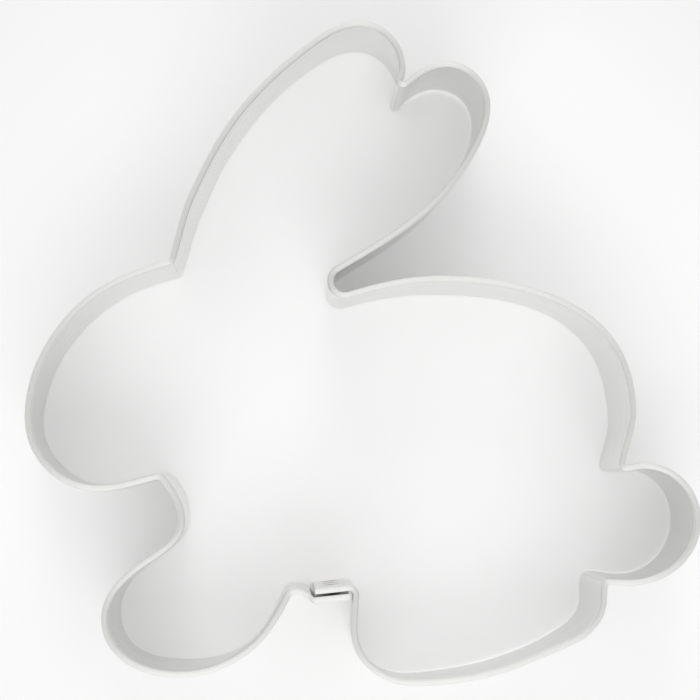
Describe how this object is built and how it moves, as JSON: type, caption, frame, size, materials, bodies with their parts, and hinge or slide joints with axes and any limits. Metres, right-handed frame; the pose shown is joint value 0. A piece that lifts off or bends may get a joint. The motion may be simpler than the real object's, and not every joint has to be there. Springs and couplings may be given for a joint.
{
  "type": "cookie cutter",
  "caption": "Rabbit-outline cookie cutter: a bent strip of thin bright tinplate, open at top and bottom, with a rolled upper rim and a lapped, spot-welded joint.",
  "frame": {"origin": "middle of the outline's bounding box, in the plane of the cutting edge", "axes": "+X from the rabbit's nose towards its tail, +Y from its feet towards its ears, +Z from the cutting edge up to the rolled rim"},
  "size_m": [0.088, 0.087, 0.02],
  "materials": {
    "tinplate": "thin cold-rolled tinplate, bright with a soft lengthwise grain",
    "weld": "fused sheet metal, dull and slightly darker than the strip"
  },
  "bodies": {
    "root": {"inner_lap": "tinplate", "hind_leg_wall": "tinplate", "tail_wall": "tinplate", "back_wall": "tinplate", "rear_ear_wall": "tinplate", "front_ear_wall": "tinplate", "face_wall": "tinplate", "front_leg_wall": "tinplate", "outer_lap": "tinplate", "spot_weld_1": "weld", "spot_weld_2": "weld", "spot_weld_3": "weld"}
  },
  "joints": []
}
